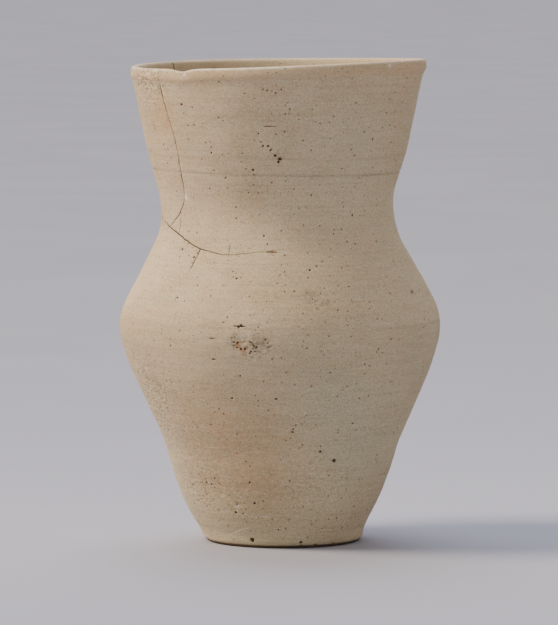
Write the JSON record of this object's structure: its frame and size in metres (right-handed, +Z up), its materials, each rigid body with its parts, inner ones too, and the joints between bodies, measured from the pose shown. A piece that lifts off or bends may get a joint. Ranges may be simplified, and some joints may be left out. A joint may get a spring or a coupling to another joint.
{
  "type": "canopic jar",
  "caption": "Lidless wheel-thrown pottery jar with a flat base, tapering body, sharp shoulder, narrow waist and flaring neck, for holding wrapped remains or stores.",
  "frame": {"origin": "on the ground under the middle of the belly, where the flat underside rests", "axes": "+Z up out of the mouth, -Y the front with the cracks at its left, +X to the right"},
  "size_m": [0.1642, 0.1624, 0.2469],
  "materials": {
    "marl_clay": "matte"
  },
  "bodies": {
    "root": {"jar": "marl_clay"}
  },
  "joints": []
}
